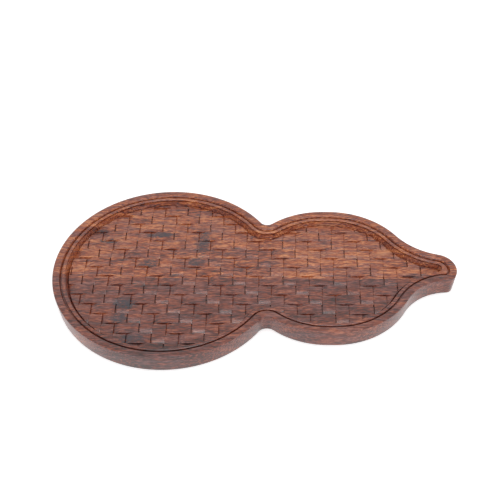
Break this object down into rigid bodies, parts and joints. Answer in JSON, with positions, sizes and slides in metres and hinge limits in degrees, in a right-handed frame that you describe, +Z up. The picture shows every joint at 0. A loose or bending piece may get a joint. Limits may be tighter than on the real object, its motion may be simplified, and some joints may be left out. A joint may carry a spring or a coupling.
{
  "type": "gourd-shaped wooden tea tray",
  "caption": "Gourd-shaped carved hardwood serving tray with a raised rim, a groove and bead, and a floor carved as a basket weave, on thin anti-slip pads.",
  "frame": {"origin": "on the table, under the middle of the tray's bounding box", "axes": "+X along the tray towards the stem, +Y towards the rear board, +Z up"},
  "size_m": [0.354, 0.201, 0.02],
  "materials": {
    "rear_board": "satin",
    "front_board": "satin",
    "dowels": "plain",
    "foot_pads": "matte"
  },
  "bodies": {
    "root": {"rear_board": "rear_board", "front_board": "front_board", "dowel_1": "dowels", "dowel_2": "dowels", "dowel_3": "dowels", "dowel_4": "dowels", "foot_pad_1": "foot_pads", "foot_pad_2": "foot_pads", "foot_pad_3": "foot_pads", "foot_pad_4": "foot_pads", "foot_pad_5": "foot_pads", "foot_pad_6": "foot_pads"}
  },
  "joints": []
}
